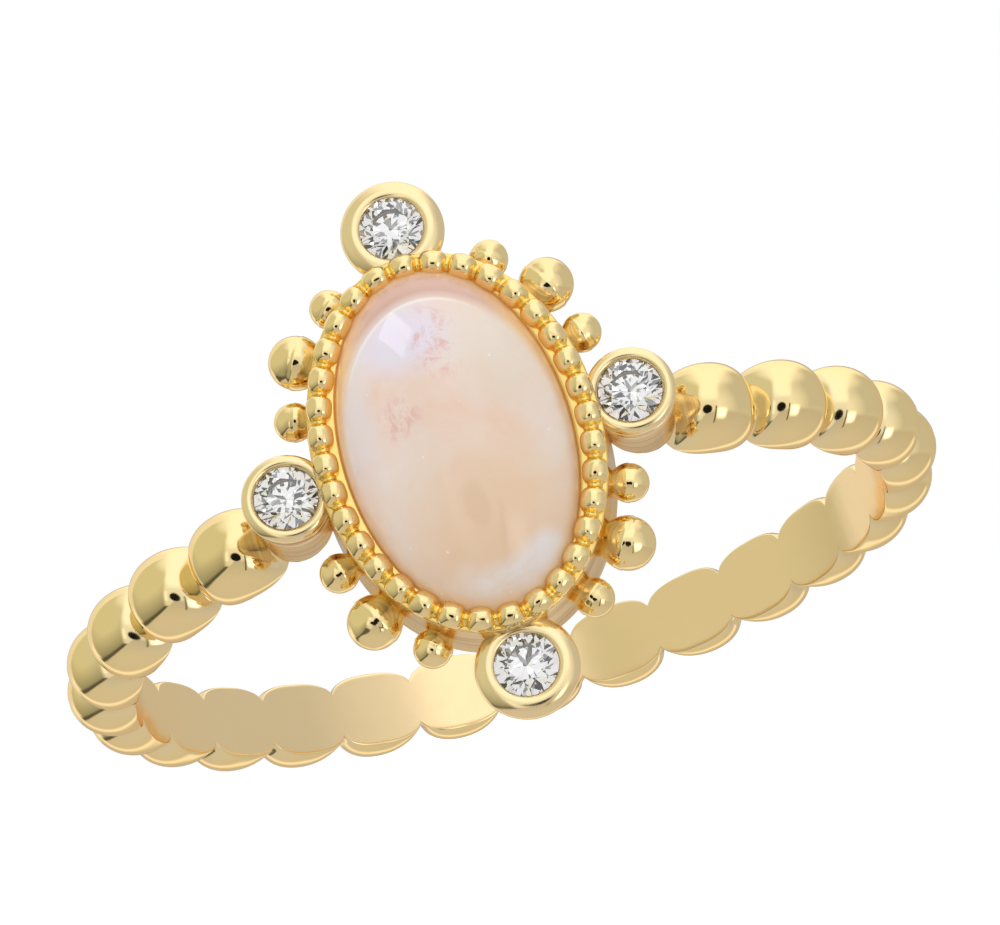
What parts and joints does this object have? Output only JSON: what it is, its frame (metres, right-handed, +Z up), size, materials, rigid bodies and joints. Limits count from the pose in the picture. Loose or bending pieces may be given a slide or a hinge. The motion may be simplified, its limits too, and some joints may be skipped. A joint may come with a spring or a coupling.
{
  "type": "moonstone ring",
  "caption": "Gold ring with a shank of half-round beads, an oval moonstone cabochon in a beaded cup, small brilliants in collets round it and granulation balls between them.",
  "frame": {"origin": "on the surface that the ring lies on, under the middle of its outline", "axes": "+Z up from the surface, -Y the way that the moonstone faces, X from shoulder to shoulder; the finger hole's axis leans back 15 degrees from +Z towards +Y"},
  "size_m": [0.02, 0.0218, 0.0117],
  "materials": {
    "gold": "yellow gold, highly polished, with a brushed cup wall",
    "moonstone": "milky peach moonstone with a blue sheen, polished",
    "diamond": "colourless round brilliant, polished"
  },
  "bodies": {
    "root": {"gold_mount": "gold", "moonstone": "moonstone", "diamond_north": "diamond", "diamond_east": "diamond", "diamond_south": "diamond", "diamond_west": "diamond"}
  },
  "joints": []
}
